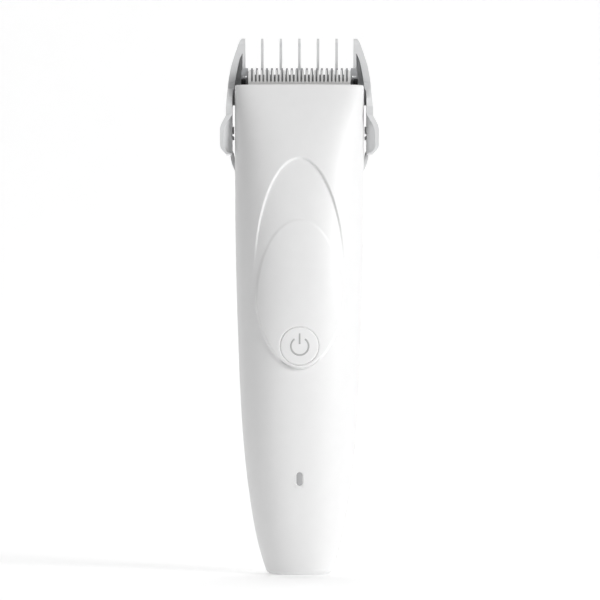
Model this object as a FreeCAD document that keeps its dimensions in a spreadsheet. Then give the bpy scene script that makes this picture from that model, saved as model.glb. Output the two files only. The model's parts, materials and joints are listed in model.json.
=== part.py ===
import FreeCAD, Part

import math
import os

import Sketcher

# Cordless hair clipper with a sliding guide comb. Millimetres, Z up, front towards -Y,
# origin at the centre of the flat base the clipper stands on.

os.makedirs("parts", exist_ok=True)
doc = FreeCAD.newDocument("HairClipper")
Vector = FreeCAD.Vector
AXIS_X = Vector(1, 0, 0)
AXIS_Y = Vector(0, 1, 0)
AXIS_Z = Vector(0, 0, 1)
FAR = 60.0  # longer than any half of the body, for cutting tools that pass right through
OUTLINE_STEPS = 48

SIZES = {
    # housing
    "body_high": 162.7,
    "wall_thick": 2.0,
    "base_round": 1.5,
    "lip_round": 0.7,
    "body_half": 21.45,
    "rear_cover_high": 137.0,
    "boss_radius": 3.0,
    "boss_bore": 1.35,
    "head_bore": 2.4,
    "head_seat": 8.0,
    "screw_radius": 1.25,
    "screw_head_radius": 2.3,
    "boss_offset": 13.5,
    "boss_height": 84.0,
    # sculpted panel on the front
    "panel_height": 97.0,
    "panel_half_wide": 15.2,
    "panel_up": 41.3,
    "panel_down": 28.3,
    "plateau_height": 90.0,
    "plateau_top": 27.8,
    "plateau_rise": 1.0,
    "plateau_lift": 0.1,
    "recess_depth": 0.6,
    "recess_inset": 0.05,
    "recess_start": 98.0,
    "recess_full": 128.0,
    "recess_low": 102.0,
    # power button
    "button_height": 76.0,
    "button_radius": 6.15,
    "button_gap": 0.3,
    "button_face": -18.75,
    "button_thick": 4.15,
    "button_flange_radius": 7.1,
    "button_flange_thick": 0.6,
    "button_flange_back": -14.1,
    "button_stem_radius": 1.8,
    "button_stem_end": -13.3,
    # indicator window
    "window_height": 32.1,
    "window_wide": 2.1,
    "window_high": 4.6,
    "window_front": -15.25,
    "window_long": 2.8,
    # inner frame and battery
    "frame_wide": 20.0,
    "frame_thick": 1.4,
    "frame_back": -6.8,
    "frame_low": 16.5,
    "frame_high": 94.0,
    "battery_radius": 7.1,
    "battery_long": 50.0,
    "battery_low": 20.0,
    "battery_back": 3.6,
    "tab_thick": 0.3,
    "tab_wide": 6.0,
    # circuit boards
    "board_wide": 18.0,
    "board_thick": 1.2,
    "board_front": -9.4,
    "board_low": 26.0,
    "board_high": 92.0,
    "screw_offset": 6.5,
    "charge_board_wide": 13.0,
    "charge_board_high": 12.0,
    # charging socket
    "socket_wide": 8.9,
    "socket_thick": 3.2,
    "socket_long": 7.3,
    "socket_low": 0.4,
    "port_gap": 0.15,
    # motor
    "motor_low": 101.0,
    "motor_long": 32.0,
    "motor_radius": 10.2,
    "motor_deep": 15.4,
    "motor_wall": 0.8,
    "end_cap_thick": 3.0,
    "shaft_radius": 1.0,
    "shaft_gap": 0.04,
    "shaft_high": 140.0,
    "armature_radius": 5.8,
    "armature_long": 16.0,
    "motor_screw_offset": 6.0,
    "bracket_thick": 1.2,
    # eccentric drive
    "cam_radius": 4.0,
    "cam_low": 136.5,
    "cam_thick": 4.0,
    "pin_offset": 0.6,
    "pin_radius": 0.9,
    "pin_high": 152.0,
    "slot_half_wide": 2.4,
    # blades, in a frame that leans back from the tips of the fixed blade
    "blade_tip_height": 168.95,
    "blade_tip_back": 6.0,
    "blade_tilt": 15.7,
    "fixed_half_wide": 19.4,
    "fixed_long": 26.0,
    "fixed_thick": 1.2,
    "fixed_pitch": 1.67,
    "fixed_gap_wide": 0.75,
    "fixed_gap_deep": 2.25,
    "fixed_gaps": 21,
    "moving_half_wide": 17.1,
    "moving_long": 11.4,
    "moving_thick": 1.5,
    "moving_tip_drop": 0.55,
    "moving_pitch": 1.27,
    "moving_gap_wide": 0.62,
    "moving_gap_deep": 3.8,
    "moving_gaps": 26,
    "blade_gap": 0.05,
    "seat_start": 13.0,
    "seat_thick": 3.0,
    "ear_inner": 18.0,
    "run_deep": 2.2,
    "run_long": 12.6,
    "blade_screw_offset": 9.0,
    "blade_screw_drop": 20.0,
    "spring_half_wide": 6.8,
    "spring_inner": 5.4,
    # guide comb
    "tine_pitch": 6.233,
    "tine_thick": 0.87,
    "outer_tine_inner": 18.1,
    "outer_tine_thick": 1.0,
    "comb_inner_half": 22.35,
    "comb_band_thick": 1.8,
    "pad_front": -5.0,
    "pad_back": 5.0,
    "tail_front": 6.0,
    "tail_long": 2.5,
    "rib_inner": 21.78,
    "rib_front": 1.0,
    "rib_long": 5.0,
}

# Height, half width, front depth, rear depth and fullness of each cross-section of the body.
SECTIONS = [
    (0.0, 10.7, 9.0, 8.8, 2.3),
    (6.0, 12.65, 10.9, 10.7, 2.3),
    (14.0, 14.65, 12.7, 12.4, 2.3),
    (24.0, 16.35, 14.2, 13.9, 2.3),
    (36.0, 17.9, 15.5, 15.3, 2.3),
    (52.0, 19.25, 16.8, 16.5, 2.3),
    (75.0, 20.3, 17.8, 17.5, 2.3),
    (100.0, 21.05, 18.0, 17.5, 2.3),
    (125.0, 21.4, 16.6, 16.6, 2.4),
    (138.0, 21.45, 14.2, 15.7, 2.6),
    (148.0, 21.45, 11.2, 14.8, 2.8),
    (156.0, 21.45, 8.0, 13.8, 3.0),
    (163.0, 21.45, 4.6, 13.0, 3.0),
]
SECTION_WORDS = ("height", "half_wide", "front", "rear", "fullness")


def fill_sheet():
    """Write every driving dimension to the spreadsheet, each under its own alias."""
    made = doc.addObject("Spreadsheet::Sheet", "dim")
    rows = list(SIZES.items())
    for number, section in enumerate(SECTIONS):
        for word, value in zip(SECTION_WORDS, section):
            rows.append((f"section_{word}_{number}", value))
    for row, (alias, value) in enumerate(rows, 1):
        made.set(f"A{row}", alias)
        made.set(f"B{row}", str(value))
        made.setAlias(f"B{row}", alias)
    doc.recompute()
    return made


sheet = fill_sheet()
nodes = []


def size(alias):
    """A dimension read back from the spreadsheet."""
    return float(getattr(sheet, alias))


def keep(made, label):
    """Give a finished sub-part its name and put it on the list that is exported."""
    made.Label = label
    nodes.append(made)
    return made


# ---- building blocks -------------------------------------------------------------------


def bind(made, **expressions):
    for name, expression in expressions.items():
        made.setExpression(name, str(expression))
    return made


def place(made, x, y, z):
    for axis, expression in (("x", x), ("y", y), ("z", z)):
        made.setExpression(f"Placement.Base.{axis}", str(expression))
    return made


def block(x, y, z, wide, deep, high):
    """A box from its low corner; every value is a spreadsheet expression."""
    made = doc.addObject("Part::Box", "Block")
    bind(made, Length=wide, Width=deep, Height=high)
    return place(made, x, y, z)


def rod(x, y, z, radius, long, along=AXIS_Z):
    """A cylinder from the centre of its first end."""
    made = doc.addObject("Part::Cylinder", "Rod")
    made.Placement = FreeCAD.Placement(Vector(), FreeCAD.Rotation(AXIS_Z, along))
    bind(made, Radius=radius, Height=long)
    return place(made, x, y, z)


def join(*parts):
    made = doc.addObject("Part::MultiFuse", "Join")
    made.Shapes = list(parts)
    return made


def cut(base, *tools):
    made = doc.addObject("Part::Cut", "Cut")
    made.Base = base
    made.Tool = tools[0] if len(tools) == 1 else join(*tools)
    return made


def overlap(first, second):
    made = doc.addObject("Part::MultiCommon", "Overlap")
    made.Shapes = [first, second]
    return made


def solid(shape):
    """The largest solid of a shape made by booleans."""
    return max(shape.Solids, key=lambda piece: piece.Volume)


def shaped(shape, label, placement=None):
    """A sub-part whose form only a computed shape gives."""
    made = doc.addObject("Part::Feature", "Shaped")
    made.Shape = shape
    if placement is not None:
        made.Placement = placement
    return keep(made, label)


def sketch(body, plane, offset="0"):
    made = body.newObject("Sketcher::SketchObject", "Sketch")
    base = next(item for item in body.Origin.OriginFeatures if item.Role == plane)
    made.AttachmentSupport = [(base, "")]
    made.MapMode = "FlatFace"
    made.setExpression("AttachmentOffset.Base.z", offset)
    return made


def outline(made, points):
    """A closed outline whose corners are held at spreadsheet expressions."""
    first = made.GeometryCount
    count = len(points)
    for index in range(count):
        angle = 2 * math.pi * index / count
        after = 2 * math.pi * (index + 1) / count
        made.addGeometry(
            Part.LineSegment(
                Vector(math.cos(angle), math.sin(angle), 0),
                Vector(math.cos(after), math.sin(after), 0),
            )
        )
    for index in range(count):
        following = first + (index + 1) % count
        made.addConstraint(Sketcher.Constraint("Coincident", first + index, 2, following, 1))
    for index, (across, up) in enumerate(points):
        for kind, expression in (("DistanceX", across), ("DistanceY", up)):
            number = made.addConstraint(
                Sketcher.Constraint(kind, -1, 1, first + index, 1, 1.0)
            )
            made.setExpression(f"Constraints[{number}]", str(expression))
    return made


def circle(made, across, up, radius):
    index = made.addGeometry(Part.Circle(Vector(1, 1, 0), AXIS_Z, 1))
    for kind, expression in (("DistanceX", across), ("DistanceY", up)):
        number = made.addConstraint(Sketcher.Constraint(kind, -1, 1, index, 3, 1.0))
        made.setExpression(f"Constraints[{number}]", str(expression))
    number = made.addConstraint(Sketcher.Constraint("Radius", index, 1.0))
    made.setExpression(f"Constraints[{number}]", str(radius))
    return made


def pad(body, profile, long, centred=False):
    made = body.newObject("PartDesign::Pad", "Pad")
    made.Profile = profile
    made.Midplane = centred
    made.setExpression("Length", str(long))
    return made


def pocket(body, profile, through=True, depth="1"):
    """Cut a profile right through both ways, or to a depth below the sketch."""
    made = body.newObject("PartDesign::Pocket", "Pocket")
    made.Profile = profile
    if through:
        made.Type = "ThroughAll"
        made.Midplane = True
    else:
        made.setExpression("Length", str(depth))
    return made


def row_of(body, feature, pitch, count):
    """Repeat a feature along X."""
    made = body.newObject("PartDesign::LinearPattern", "Row")
    made.Originals = [feature]
    axis = next(item for item in body.Origin.OriginFeatures if item.Role == "X_Axis")
    made.Direction = (axis, [""])
    made.setExpression("Length", f"{pitch} * ({count} - 1)")
    made.setExpression("Occurrences", str(count))
    body.Tip = made
    return made


def new_body(label):
    return keep(doc.addObject("PartDesign::Body", "Body"), label)


def tube(points, radius):
    """A round wire along a smooth path."""
    path = Part.BSplineCurve()
    path.interpolate([Vector(*point) for point in points])
    edge = path.toShape()
    start = edge.tangentAt(edge.FirstParameter)
    ring = Part.Wire([Part.makeCircle(radius, Vector(*points[0]), start)])
    return Part.Wire([edge]).makePipeShell([ring], True, True)


def prism(points, along, start, long):
    """A straight prism along X, Y or Z on a polygon drawn in the other two directions."""
    if along == AXIS_X:
        corners = [Vector(start, back, up) for back, up in points]
    elif along == AXIS_Y:
        corners = [Vector(across, start, up) for across, up in points]
    else:
        corners = [Vector(across, back, start) for across, back in points]
    face = Part.Face(Part.makePolygon(corners + [corners[0]]))
    return face.extrude(along * long)


# ---- the body's outer form -------------------------------------------------------------


def section_rows():
    rows = []
    for number in range(len(SECTIONS)):
        rows.append([size(f"section_{word}_{number}") for word in SECTION_WORDS])
    return rows


def section_wire(height, half_wide, front, rear, fullness):
    """One smooth cross-section, fuller than an ellipse."""
    points = []
    steps = 32
    for step in range(steps):
        turn = 2 * math.pi * (step + 0.25 * steps) / steps  # the seam lies at the back
        across = math.copysign(abs(math.cos(turn)) ** (2 / fullness), math.cos(turn))
        back = math.copysign(abs(math.sin(turn)) ** (2 / fullness), math.sin(turn))
        depth = rear if back > 0 else front
        points.append(Vector(half_wide * across, depth * back, height))
    curve = Part.BSplineCurve()
    curve.interpolate(points, PeriodicFlag=True)
    return Part.Wire([curve.toShape()])


def body_form(inset):
    """The body as one solid, brought in by a distance that may change with height."""
    wires = []
    for height, half_wide, front, rear, fullness in section_rows():
        step = inset(height)
        wires.append(
            section_wire(height, half_wide - step, front - step, rear - step, fullness)
        )
    return Part.makeLoft(wires, True, False)


def fade(height, low, high):
    """0 below low, 1 above high, smooth between."""
    share = min(1.0, max(0.0, (height - low) / (high - low)))
    return share * share * (3 - 2 * share)


def egg_half(height):
    """Half width of the panel at a height."""
    centre = size("panel_height")
    reach = size("panel_up") if height > centre else size("panel_down")
    return size("panel_half_wide") * math.sqrt(max(0.0, 1 - ((height - centre) / reach) ** 2))


def egg_points(inner):
    """Outline of the panel, or of the raised plateau inside it; both end in the same foot."""
    middle = size("plateau_height") if inner else size("panel_height")
    top = size("plateau_top") if inner else size("panel_up")
    foot = middle - size("panel_height") + size("panel_down")
    points = []
    for step in range(OUTLINE_STEPS):
        turn = 2 * math.pi * step / OUTLINE_STEPS
        if math.sin(turn) > 0:
            points.append((egg_half(middle) * math.cos(turn), middle + top * math.sin(turn)))
        else:
            up = middle - foot * abs(math.sin(turn))
            points.append((math.copysign(egg_half(up), math.cos(turn)), up))
    return points


def egg_prism(inner):
    curve = Part.BSplineCurve()
    corners = [Vector(across, -FAR, up) for across, up in egg_points(inner)]
    curve.interpolate(corners, PeriodicFlag=True)
    face = Part.Face(Part.Wire([curve.toShape()]))
    return face.extrude(AXIS_Y * (FAR - 4))


def half_space(low_y, high_y, low_z, high_z):
    return Part.makeBox(2 * FAR, high_y - low_y, high_z - low_z, Vector(-FAR, low_y, low_z))


def rounded_outer():
    """The outer form with its foot and its two top corners rounded."""
    form = body_form(lambda height: 0.0)
    foot = [edge for edge in form.Edges if edge.BoundBox.ZMax < 0.01]
    form = form.makeFillet(size("base_round"), foot)
    half = size("body_half")
    gate = Part.makeBox(2 * half, 2 * FAR, size("body_high") + FAR, Vector(-half, -FAR, -FAR))
    corners = [
        edge
        for edge in gate.Edges
        if edge.BoundBox.ZMin > size("body_high") - 0.01 and edge.BoundBox.YLength > FAR
    ]
    return form.common(gate.makeFillet(size("lip_round"), corners))


OUTER = rounded_outer()
INNER = body_form(lambda height: size("wall_thick")).common(
    half_space(-FAR, FAR, size("wall_thick"), 2 * size("body_high"))
)


def bore(x, y, z, radius, long, along):
    return Part.makeCylinder(radius, long, Vector(x, y, z), along)


def stadium(half_wide, half_long, start, long, centre_x, centre_z, upright):
    """A slot-shaped prism along Y (upright) or along Z (lying across the base)."""
    reach = half_long - half_wide
    if upright:
        ends = [bore(centre_x, start, centre_z + side * reach, half_wide, long, AXIS_Y) for side in (-1, 1)]
        middle = Part.makeBox(
            2 * half_wide, long, 2 * reach, Vector(centre_x - half_wide, start, centre_z - reach)
        )
    else:
        ends = [bore(centre_x + side * reach, 0, start, half_wide, long, AXIS_Z) for side in (-1, 1)]
        middle = Part.makeBox(
            2 * reach, 2 * half_wide, long, Vector(centre_x - reach, -half_wide, start)
        )
    return middle.fuse(ends).removeSplitter()


def port_hole():
    gap = size("port_gap")
    return stadium(
        size("socket_thick") / 2 + gap, size("socket_wide") / 2 + gap, -1, size("wall_thick") + 2, 0, 0, False
    )


def recess_inset(height):
    """How far the floor of the recess lies below the plain form at a height."""
    share = fade(height, size("recess_start"), size("recess_full"))
    return size("recess_inset") + size("recess_depth") * share


def make_front_cover():
    shell = OUTER.cut(INNER).common(half_space(-FAR, 0, -1, 2 * size("body_high")))
    rise = size("plateau_rise")
    low = size("plateau_height")
    high = low + size("plateau_top")
    lift = size("plateau_lift")
    raised = body_form(lambda height: -lift - rise * (1 - fade(height, low, high)))
    plateau = raised.common(egg_prism(True)).cut(INNER)
    floor_form = body_form(recess_inset)
    above = half_space(-FAR, 0, size("recess_low"), size("body_high"))
    recess = egg_prism(False).common(above).cut(egg_prism(True)).cut(floor_form)
    shell = shell.fuse(plateau).cut(recess)
    for side in (-1, 1):
        boss = bore(side * size("boss_offset"), 0, size("boss_height"), size("boss_radius"), FAR / 2, -AXIS_Y)
        shell = shell.fuse(boss.common(INNER.common(half_space(-FAR, -0.1, 0, FAR * 2))))
    tools = [
        bore(0, -FAR, size("button_height"), size("button_radius") + size("button_gap"), FAR - 10, AXIS_Y),
        stadium(
            size("window_wide") / 2, size("window_high") / 2, -FAR, FAR - 6, 0, size("window_height"), True
        ),
        port_hole(),
    ]
    for side in (-1, 1):
        x = side * size("boss_offset")
        tools.append(bore(x, -8, size("boss_height"), size("screw_radius"), 9, AXIS_Y))
    return shaped(solid(shell.cut(tools)), "front_cover")


def make_rear_cover():
    shell = OUTER.cut(INNER).common(half_space(0, FAR, -1, size("rear_cover_high")))
    tools = [port_hole()]
    for side in (-1, 1):
        x = side * size("boss_offset")
        boss = bore(x, 0, size("boss_height"), size("boss_radius"), FAR / 2, AXIS_Y)
        shell = shell.fuse(boss.common(INNER))
        tools.append(bore(x, -1, size("boss_height"), size("boss_bore"), FAR, AXIS_Y))
        tools.append(bore(x, size("head_seat"), size("boss_height"), size("head_bore"), FAR, AXIS_Y))
    return shaped(solid(shell.cut(tools)), "rear_cover")


def make_housing_screws():
    """Two pan-head screws from the rear cover into the front cover."""
    screws = []
    for side in (-1, 1):
        x = side * size("boss_offset")
        shank = bore(x, -7, size("boss_height"), size("screw_radius"), 15.5, AXIS_Y)
        head = bore(x, size("head_seat"), size("boss_height"), size("screw_head_radius"), 1.6, AXIS_Y)
        slot_a = Part.makeBox(0.5, 1, 2.8, Vector(x - 0.25, 9.0, size("boss_height") - 1.4))
        slot_b = Part.makeBox(2.8, 1, 0.5, Vector(x - 1.4, 9.0, size("boss_height") - 0.25))
        screws.append(shank.fuse(head).cut([slot_a, slot_b]))
    return shaped(Part.makeCompound(screws), "housing_screws")


make_front_cover()
make_rear_cover()
make_housing_screws()


# ---- indicator and power button --------------------------------------------------------


def make_led_window():
    """Clear light pipe that fills the slot in the front cover."""
    body = new_body("led_window")
    profile = sketch(body, "XZ_Plane", "-dim.window_front - dim.window_long")
    half = "dim.window_wide / 2"
    reach = "(dim.window_high - dim.window_wide) / 2"
    outline(
        profile,
        [
            (f"-{half}", f"dim.window_height - {reach}"),
            (half, f"dim.window_height - {reach}"),
            (half, f"dim.window_height + {reach}"),
            (f"-{half}", f"dim.window_height + {reach}"),
        ],
    )
    pad(body, profile, "dim.window_long")
    for sign in ("-", "+"):
        end = sketch(body, "XZ_Plane", "-dim.window_front - dim.window_long")
        circle(end, 0, f"dim.window_height {sign} {reach}", half)
        pad(body, end, "dim.window_long")


def make_power_button():
    """Round cap with a hidden flange and a stem that meets the switch."""
    body = new_body("power_button")
    cap = sketch(body, "XZ_Plane", "-dim.button_face - dim.button_thick")
    circle(cap, 0, "dim.button_height", "dim.button_radius")
    pad(body, cap, "dim.button_thick")
    flange = sketch(body, "XZ_Plane", "-dim.button_flange_back")
    circle(flange, 0, "dim.button_height", "dim.button_flange_radius")
    pad(body, flange, "dim.button_flange_thick")
    stem = sketch(body, "XZ_Plane", "-dim.button_stem_end")
    circle(stem, 0, "dim.button_height", "dim.button_stem_radius")
    pad(body, stem, "1.5")
    doc.recompute()
    rim = [
        f"Edge{number}"
        for number, edge in enumerate(body.Shape.Edges, 1)
        if edge.BoundBox.YMax < size("button_face") + 0.01
    ]
    shaped_so_far = body.Tip
    rounding = body.newObject("PartDesign::Fillet", "Fillet")
    rounding.Base = (shaped_so_far, rim)
    rounding.Radius = 0.5


make_led_window()
make_power_button()


# ---- frame, boards and battery ---------------------------------------------------------


def make_inner_frame():
    """Plate between board and battery, with a shelf at each end of the cell."""
    front = "dim.frame_back - dim.frame_thick"
    plate = block(
        "-dim.frame_wide / 2", front, "dim.board_low", "dim.frame_wide", "dim.frame_thick",
        "dim.frame_high - dim.board_low",
    )
    foot = block("-6", front, "dim.frame_low", 12, "dim.frame_thick", "dim.board_low - dim.frame_low")
    low = block("-6", "dim.frame_back", "dim.frame_low", 12, "14", "1.5")
    high = block("-7", "dim.frame_back", "dim.battery_low + dim.battery_long + 1", 14, "17.5", "1.5")
    ribs = [
        block(x, "dim.frame_back", "dim.board_low + 4", "1.2", "9", "38") for x in ("-9.4", "8.2")
    ]
    holes = [
        rod(f"{sign}dim.screw_offset", "dim.frame_back + 1", height, "0.8", "dim.frame_thick + 2", -AXIS_Y)
        for sign in ("-", "") for height in ("dim.board_low + 3", "dim.board_high - 3")
    ]
    lead_hole = rod("-1", 4, "dim.battery_low + dim.battery_long", "0.7", 4)
    keep(cut(join(plate, foot, low, high, *ribs), lead_hole, *holes), "inner_frame")


def make_boards():
    """Main board on the frame, its fixings, the switch, the indicator and the chips."""
    plate = block(
        "-dim.board_wide / 2", "dim.board_front", "dim.board_low", "dim.board_wide", "dim.board_thick",
        "dim.board_high - dim.board_low",
    )
    heights = ("dim.board_low + 3", "dim.board_high - 3")
    spots = [(f"{sign}dim.screw_offset", height) for sign in ("-", "") for height in heights]
    holes = [
        rod(x, "dim.board_front - 1", z, "0.8", "dim.board_thick + 2", AXIS_Y) for x, z in spots
    ]
    keep(cut(plate, *holes), "main_circuit_board")
    screws = [rod(x, "dim.board_front - 0.9", z, "1.6", "0.9", AXIS_Y) for x, z in spots]
    shanks = [rod(x, "dim.board_front - 0.5", z, "0.8", "3", AXIS_Y) for x, z in spots]
    keep(join(*[join(head, shank) for head, shank in zip(screws, shanks)]), "board_screws")
    switch = block("-3", "dim.board_front - 2.4", "dim.button_height - 3", 6, "2.4", 6)
    plunger = rod(0, "dim.board_front - 3.2", "dim.button_height", "1.6", "1", AXIS_Y)
    keep(join(switch, plunger), "button_switch")
    lamp = block("-0.8", "dim.board_front - 0.8", "dim.window_height - 0.5", "1.6", "0.8", "1")
    keep(lamp, "indicator_led")
    chips = [
        block("-3", "dim.board_front - 1.2", "46", 6, "1.2", 6),
        block("3.5", "dim.board_front - 1.4", "56", 4, "1.4", 3),
        block("-7", "dim.board_front - 0.9", "60", 5, "0.9", 4),
        block("-2", "dim.board_front - 1", "38", 4, "1", "2.5"),
    ]
    keep(join(*chips), "board_chips")


def make_charging():
    """Upright board at the foot with the charging socket on it."""
    keep(
        block("-dim.charge_board_wide / 2", "dim.socket_thick / 2", "2.2", "dim.charge_board_wide", "1",
              "dim.charge_board_high"),
        "charging_board",
    )
    half = size("socket_thick") / 2
    reach = size("socket_wide") / 2
    low = size("socket_low")
    shell = stadium(half, reach, low, size("socket_long"), 0, 0, False)
    hollow = stadium(half - 0.3, reach - 0.3, low - 1, size("socket_long"), 0, 0, False)
    tongue = Part.makeBox(6.7, 0.7, size("socket_long") - 1.5, Vector(-3.35, -0.35, low + 0.8))
    shaped(solid(shell.cut(hollow).fuse(tongue)), "usb_socket")


def make_battery():
    body = new_body("battery_cell")
    can = sketch(body, "XY_Plane", "dim.battery_low")
    circle(can, 0, "dim.battery_back", "dim.battery_radius")
    pad(body, can, "dim.battery_long - 0.8")
    cap = sketch(body, "XY_Plane", "dim.battery_low")
    circle(cap, 0, "dim.battery_back", "2.6")
    pad(body, cap, "dim.battery_long")
    groove = sketch(body, "XY_Plane", "dim.battery_low + dim.battery_long - 3")
    circle(groove, 0, "dim.battery_back", "dim.battery_radius")
    circle(groove, 0, "dim.battery_back", "dim.battery_radius - 0.3")
    pocket(body, groove, False, "0.8")
    strips = [
        block("-dim.tab_wide / 2", "dim.battery_back - 5", low, "dim.tab_wide", 10, "dim.tab_thick")
        for low in ("dim.battery_low - dim.tab_thick", "dim.battery_low + dim.battery_long")
    ]
    keep(join(*strips), "battery_tabs")


make_inner_frame()
make_boards()
make_charging()
make_battery()


# ---- motor -----------------------------------------------------------------------------


def flat_can(low, long, inset="0"):
    """A round can with two flats, front and back."""
    round_part = rod(0, 0, low, f"dim.motor_radius - {inset}", long)
    flats = block("-dim.motor_radius - 1", f"-dim.motor_deep / 2 + {inset}", low, "2 * dim.motor_radius + 2",
                  f"dim.motor_deep - 2 * {inset}", long)
    return overlap(round_part, flats)


def make_motor():
    top = "dim.motor_low + dim.motor_long"
    outer = flat_can("dim.motor_low", "dim.motor_long")
    hollow = flat_can("dim.motor_low - 1", "dim.motor_long + 1 - dim.motor_wall", "dim.motor_wall")
    neck = rod(0, 0, top, "3", "1.2")
    bore_hole = rod(0, 0, f"{top} - 3", "dim.shaft_radius + dim.shaft_gap", "6")
    screw_holes = [
        rod(f"{sign}dim.motor_screw_offset", 0, f"{top} - 3", "0.9", "4") for sign in ("-", "")
    ]
    keep(cut(join(outer, neck), hollow, bore_hole, *screw_holes), "motor_can")

    cap = flat_can("dim.motor_low - dim.end_cap_thick", "dim.end_cap_thick")
    cap_bore = rod(0, 0, "dim.motor_low - dim.end_cap_thick - 1", "dim.shaft_radius + dim.shaft_gap", "5")
    slots = [block(x, "-0.3", "dim.motor_low - dim.end_cap_thick - 1", 2, "0.6", 5) for x in ("-7", "5")]
    keep(cut(cap, cap_bore, *slots), "motor_end_cap")
    tabs = [block(x, "-0.3", "dim.motor_low - 6", 2, "0.6", 6) for x in ("-7", "5")]
    keep(join(*tabs), "motor_terminals")

    ring = cut(
        rod(0, 0, "dim.motor_low + 4", "dim.motor_radius - dim.motor_wall", 20),
        rod(0, 0, "dim.motor_low + 3", "dim.armature_radius + 0.5", 22),
        block("-4.5", -12, "dim.motor_low + 3", 9, 24, 22),
    )
    inside = block(-12, "-dim.motor_deep / 2 + dim.motor_wall", "dim.motor_low + 3", 24,
                   "dim.motor_deep - 2 * dim.motor_wall", 22)
    keep(overlap(ring, inside), "motor_magnets")

    plate = block(-14, "-7", top, 28, 14, "dim.bracket_thick")
    centre_hole = rod(0, 0, f"{top} - 1", "3", "4")
    fixings = [
        rod(f"{sign}dim.motor_screw_offset", 0, f"{top} - 1", "0.9", "4") for sign in ("-", "")
    ]
    keep(cut(plate, centre_hole, *fixings), "motor_bracket")
    screws = [
        join(
            rod(f"{sign}dim.motor_screw_offset", 0, f"{top} + dim.bracket_thick", "1.7", "1"),
            rod(f"{sign}dim.motor_screw_offset", 0, f"{top} - 0.6", "0.9", "dim.bracket_thick + 1"),
        )
        for sign in ("-", "")
    ]
    keep(join(*screws), "motor_screws")


def make_rotor():
    """Shaft, armature, commutator and the eccentric cam with its drive pin."""
    low = "dim.motor_low - dim.end_cap_thick + 0.5"
    keep(rod(0, 0, low, "dim.shaft_radius", f"dim.shaft_high - ({low})"), "motor_shaft")
    core = rod(0, 0, "dim.motor_low + 6", "dim.armature_radius", "dim.armature_long")
    gaps = []
    for turn in range(3):
        start = "dim.motor_low + 5"
        groove = block("dim.armature_radius - 1.6", "-0.6", start, 3, "1.2", "dim.armature_long + 2")
        turned = doc.addObject("Part::MultiFuse", "Turned")
        turned.Shapes = [groove, block("dim.armature_radius - 1.4", "-0.5", start, 2, 1, 1)]
        turned.Placement = FreeCAD.Placement(Vector(), FreeCAD.Rotation(AXIS_Z, 120 * turn))
        gaps.append(turned)
    shaft_hole = rod(0, 0, "dim.motor_low + 5", "dim.shaft_radius", "dim.armature_long + 2")
    keep(cut(core, shaft_hole, *gaps), "armature")
    keep(
        cut(
            rod(0, 0, "dim.motor_low + 1", "2.2", "4"),
            rod(0, 0, "dim.motor_low", "dim.shaft_radius", "6"),
        ),
        "commutator",
    )
    body = new_body("eccentric_cam")
    hub = sketch(body, "XY_Plane", "dim.cam_low")
    circle(hub, 0, 0, "dim.cam_radius")
    pad(body, hub, "dim.cam_thick")
    pin = sketch(body, "XY_Plane", "dim.cam_low + dim.cam_thick - 0.5")
    circle(pin, "dim.pin_offset", 0, "dim.pin_radius")
    pad(body, pin, "dim.pin_high - dim.cam_low - dim.cam_thick + 0.5")
    hole = sketch(body, "XY_Plane", "dim.shaft_high")
    circle(hole, 0, 0, "dim.shaft_radius")
    pocket(body, hole, False, "dim.shaft_high - dim.cam_low + 1")
    relief = sketch(body, "XY_Plane", "dim.cam_low + dim.cam_thick")
    outline(relief, [(1.6, -2.6), (3.4, -1.2), (3.4, 1.2), (1.6, 2.6)])
    pocket(body, relief, False, "1.4")


make_motor()
make_rotor()


# ---- blades ----------------------------------------------------------------------------


def blade_placement():
    """Blade frame: x across, y towards the tips, z towards the front."""
    turn = FreeCAD.Rotation(AXIS_X, 90 + size("blade_tilt"))
    return FreeCAD.Placement(Vector(0, size("blade_tip_back"), size("blade_tip_height")), turn)


def lean(shape):
    """Move a shape drawn in the blade frame to where the blades are."""
    moved = shape.copy()
    moved.Placement = blade_placement()
    return moved


def place_blade(body):
    body.Placement = blade_placement()
    bind(body, **{"Placement.Base.y": "dim.blade_tip_back", "Placement.Base.z": "dim.blade_tip_height"})


def tooth_gap(body, pitch, wide, deep, count, tip):
    """One tapered gap at the left end of a blade, then the whole row of them."""
    centre = f"-{pitch} * ({count} - 1) / 2"
    profile = sketch(body, "XY_Plane")
    outline(
        profile,
        [
            (f"{centre} - {wide} / 2", f"{tip} - {deep}"),
            (f"{centre} + {wide} / 2", f"{tip} - {deep}"),
            (f"{centre} + {wide} / 2", f"{tip} - 1"),
            (f"{centre} + {wide} / 2 + 0.14", f"{tip} + 0.2"),
            (f"{centre} - {wide} / 2 - 0.14", f"{tip} + 0.2"),
            (f"{centre} - {wide} / 2", f"{tip} - 1"),
        ],
    )
    row_of(body, pocket(body, profile), pitch, count)


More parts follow.
